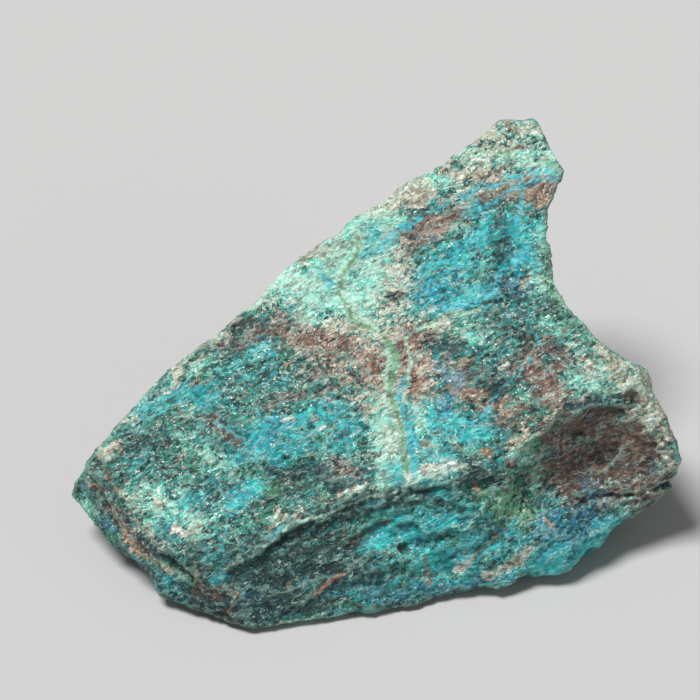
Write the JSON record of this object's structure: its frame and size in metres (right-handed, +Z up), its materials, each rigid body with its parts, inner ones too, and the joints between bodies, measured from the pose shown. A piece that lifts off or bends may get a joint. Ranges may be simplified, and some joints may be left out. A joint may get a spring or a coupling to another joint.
{
  "type": "chrysocolla specimen",
  "caption": "Rough hand-sized lump of blue-green copper rock, with a leaning veined show face, a blunt horn and a flat broken underside to stand on.",
  "frame": {"origin": "on the surface that the stone stands on, under the middle of its bounding box", "axes": "+Z up, +X along the length of the stone to the right, -Y towards the viewer of the leaning show face"},
  "size_m": [0.1314, 0.0902, 0.0761],
  "materials": {
    "chrysocolla": "rough broken rock, blue and green with brown and copper-coloured veinlets, dull with small glints"
  },
  "bodies": {
    "root": {"chrysocolla_stone": "chrysocolla"}
  },
  "joints": []
}
